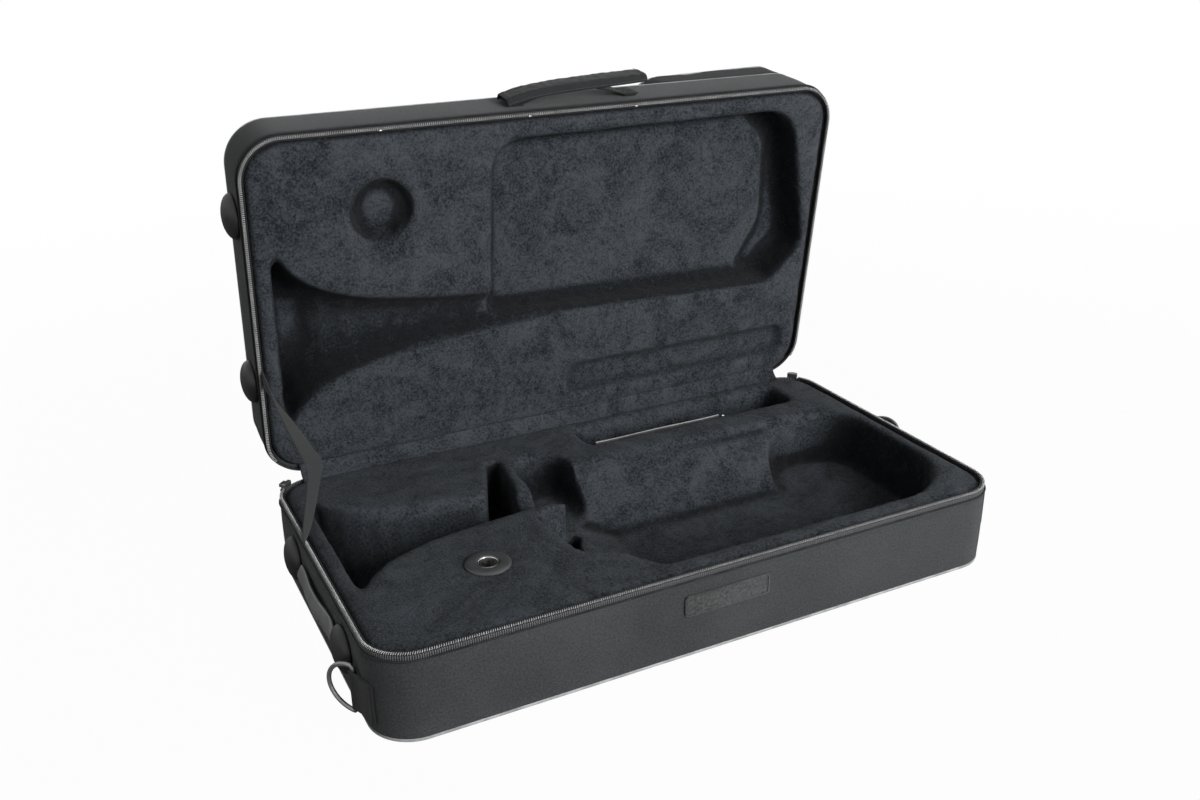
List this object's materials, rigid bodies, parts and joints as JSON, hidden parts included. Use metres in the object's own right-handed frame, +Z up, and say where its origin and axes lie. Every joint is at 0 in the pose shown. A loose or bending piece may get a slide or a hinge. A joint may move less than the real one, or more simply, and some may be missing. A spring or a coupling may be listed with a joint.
{
  "type": "tenor horn case",
  "caption": "Soft-sided zip case for a tenor horn, hinged lid open, with plush-covered moulded recesses, side handles, strap rings, feet and an outer pocket.",
  "frame": {"origin": "middle of the base's flat underside, which rests on the ground", "axes": "+X along the case from the bell end to the other, +Y from the front to the hinge, +Z up"},
  "size_m": [0.6922, 0.4446, 0.4694],
  "materials": {
    "nylon": "woven, slight sheen",
    "plush": "short napped plush",
    "piping": "grey woven cord",
    "tape": "woven zip tape",
    "coil": "polished nylon coil",
    "rubber": "moulded, satin",
    "vinyl": "glossy grained vinyl",
    "webbing": "ribbed webbing",
    "nickel": "nickel plated",
    "flange_plastic": "gloss black"
  },
  "bodies": {
    "base": {"base_shell": "nylon", "base_lining": "plush", "base_piping": "piping", "base_zip_tape": "tape", "base_zip_teeth": "coil", "mouthpiece_flange": "flange_plastic", "mouthpiece_sleeve": "nickel", "slot_strap": "vinyl", "slot_hook": "nickel", "label_patch": "vinyl", "base_foot_rear": "rubber", "base_foot_front": "rubber", "left_side_handle": "vinyl", "left_side_handle_rivet_front": "nickel", "left_side_handle_rivet_rear": "nickel", "right_side_handle": "vinyl", "right_side_handle_rivet_front": "nickel", "right_side_handle_rivet_rear": "nickel", "left_ring_tab": "webbing", "right_ring_tab": "webbing", "hinge_strip": "nylon", "stay_strap": "webbing", "zip_slider_left": "nickel", "zip_slider_right": "nickel"},
    "lid": {"lid_shell": "nylon", "lid_lining": "plush", "lid_piping": "piping", "lid_zip_tape": "tape", "lid_zip_teeth": "coil", "lid_foot_rear": "rubber", "lid_foot_front": "rubber", "tape_tack_1": "nickel", "tape_tack_2": "nickel", "tape_tack_3": "nickel", "handle_anchor_left": "webbing", "handle_anchor_right": "webbing", "handle_webbing": "webbing", "pocket_panel": "nylon", "pocket_piping": "piping", "pocket_zip_tape": "tape", "pocket_zip_teeth": "coil"},
    "carry_handle": {"handle_wrap": "nylon"},
    "left_ring": {"left_ring": "nickel"},
    "right_ring": {"right_ring": "nickel"},
    "zip_pull_left": {"zip_pull_left": "nickel"},
    "zip_pull_right": {"zip_pull_right": "nickel"},
    "pocket_slider": {"pocket_slider": "nickel"},
    "pocket_pull": {"pocket_pull": "nickel"}
  },
  "joints": [
    {"name": "lid_hinge", "type": "hinge", "parent": "base", "child": "lid", "pos_m": [0, 0.179, 0.088], "axis": [1, 0, 0], "range_deg": [-46, 82.13], "deforming": ["hinge_strip", "stay_strap"]},
    {"name": "carry_handle_lift", "type": "slide", "parent": "lid", "child": "carry_handle", "axis": [0, -0.1369, 0.9906], "range_m": [0, 0.01], "deforming": ["handle_webbing"]},
    {"name": "left_ring_swing", "type": "hinge", "parent": "base", "child": "left_ring", "pos_m": [-0.3289, -0.126, 0.03344], "axis": [0, 0, 1], "range_deg": [-8, 117]},
    {"name": "right_ring_swing", "type": "hinge", "parent": "base", "child": "right_ring", "pos_m": [0.3289, -0.126, 0.0528], "axis": [0, 0, -1], "range_deg": [-33, 117]},
    {"name": "zip_pull_left_swing", "type": "hinge", "parent": "base", "child": "zip_pull_left", "pos_m": [-0.31514, 0.16814, 0.088], "axis": [0.7071, 0.7071, 0], "range_deg": [-4, 90]},
    {"name": "zip_pull_right_swing", "type": "hinge", "parent": "base", "child": "zip_pull_right", "pos_m": [0.31514, 0.16814, 0.088], "axis": [0.7071, -0.7071, 0], "range_deg": [-4, 90]},
    {"name": "pocket_slider_slide", "type": "slide", "parent": "lid", "child": "pocket_slider", "axis": [0, 0.1369, -0.9906], "range_m": [0, 0.148]},
    {"name": "pocket_pull_swing", "type": "hinge", "parent": "pocket_slider", "child": "pocket_pull", "pos_m": [0.3296, 0.21971, 0.41061], "axis": [0, -0.9906, -0.1369], "range_deg": [0, 150]}
  ]
}
